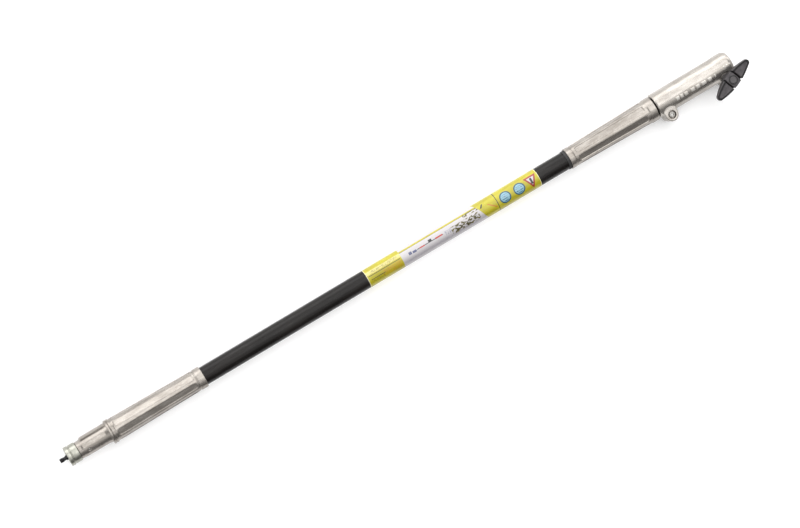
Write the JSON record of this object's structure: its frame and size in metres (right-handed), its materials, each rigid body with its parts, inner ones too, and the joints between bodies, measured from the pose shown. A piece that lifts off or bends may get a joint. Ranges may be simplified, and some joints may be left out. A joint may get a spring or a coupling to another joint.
{
  "type": "drive-shaft extension pole",
  "caption": "Metre-long tool extension pole: coated tube with a drive shaft inside, a keyed spigot at one end and a clamp housing with a wing knob at the other.",
  "frame": {"origin": "centre of the drive tip's flat end face, on the pole's axis", "axes": "+X along the pole from the spigot end to the clamp housing's mouth; +Z along the clamp screws, towards the wing knob; the clamp ears are on the -Y side"},
  "size_m": [1.076, 0.0538, 0.0543],
  "materials": {
    "tube": "black powder coat, satin",
    "label": "printed vinyl film, yellow and white, satin",
    "rubber": "black moulded rubber",
    "casting": "die-cast, shot-blasted and clear-coated, warm silver",
    "machined": "turned, faintly greenish passivated",
    "bright_steel": "zinc-plated or ground bright steel",
    "dark_steel": "black-oxide hardened steel, oiled",
    "spring_steel": "phosphated spring steel",
    "bearing_cage": "pressed steel cage with ground steel balls",
    "bronze": "sintered oil-filled bronze",
    "knob": "dark grey glass-filled nylon, fine grain"
  },
  "bodies": {
    "pole": {"shaft_tube": "tube", "label_film": "label", "tube_seal_ring": "rubber", "front_sleeve": "casting", "rear_sleeve": "casting", "clamp_housing": "casting", "spigot_end_ring": "machined", "front_dust_seal": "rubber", "locating_pin": "bright_steel", "rear_bore_circlip": "spring_steel", "clamp_screw": "bright_steel", "knob_nut": "bright_steel", "front_bearing_outer_ring": "bright_steel", "rear_bearing_outer_ring": "bright_steel", "guide_bush_1": "bronze", "guide_bush_mount_1": "rubber", "guide_bush_2": "bronze", "guide_bush_mount_2": "rubber", "guide_bush_3": "bronze", "guide_bush_mount_3": "rubber"},
    "drive_line": {"drive_shaft": "dark_steel", "drive_tip": "dark_steel", "drive_socket": "dark_steel", "front_bearing_inner_ring": "bright_steel", "rear_bearing_inner_ring": "bright_steel", "front_shaft_circlip": "spring_steel", "rear_shaft_circlip": "spring_steel"},
    "front_ball_cage": {"front_bearing_ball_cage": "bearing_cage"},
    "rear_ball_cage": {"rear_bearing_ball_cage": "bearing_cage"},
    "knob_carriage": {"thrust_washer": "bright_steel"},
    "knob": {"wing_knob": "knob", "knob_stud": "bright_steel", "knob_cap": "knob"}
  },
  "joints": [
    {"name": "drive_spin", "type": "hinge", "parent": "pole", "child": "drive_line", "pos_m": [0.5, 0, 0], "axis": [1, 0, 0], "continuous": true},
    {"name": "front_cage_spin", "type": "hinge", "parent": "pole", "child": "front_ball_cage", "pos_m": [0.0348, 0, 0], "axis": [1, 0, 0], "continuous": true},
    {"name": "rear_cage_spin", "type": "hinge", "parent": "pole", "child": "rear_ball_cage", "pos_m": [0.9705, 0, 0], "axis": [1, 0, 0], "continuous": true},
    {"name": "knob_lift", "type": "slide", "parent": "pole", "child": "knob_carriage", "axis": [0, 0, 1], "range_m": [0, 0.00375]},
    {"name": "knob_turn", "type": "hinge", "parent": "knob_carriage", "child": "knob", "pos_m": [1.0437, -0.0182, 0], "axis": [0, 0, 1], "range_deg": [0, 1080]}
  ],
  "couplings": [
    {"joint": "front_cage_spin", "follows": "drive_spin", "ratio": 0.368},
    {"joint": "rear_cage_spin", "follows": "drive_spin", "ratio": 0.368},
    {"joint": "knob_lift", "follows": "knob_turn", "m_per_rad": 0.00019894}
  ]
}
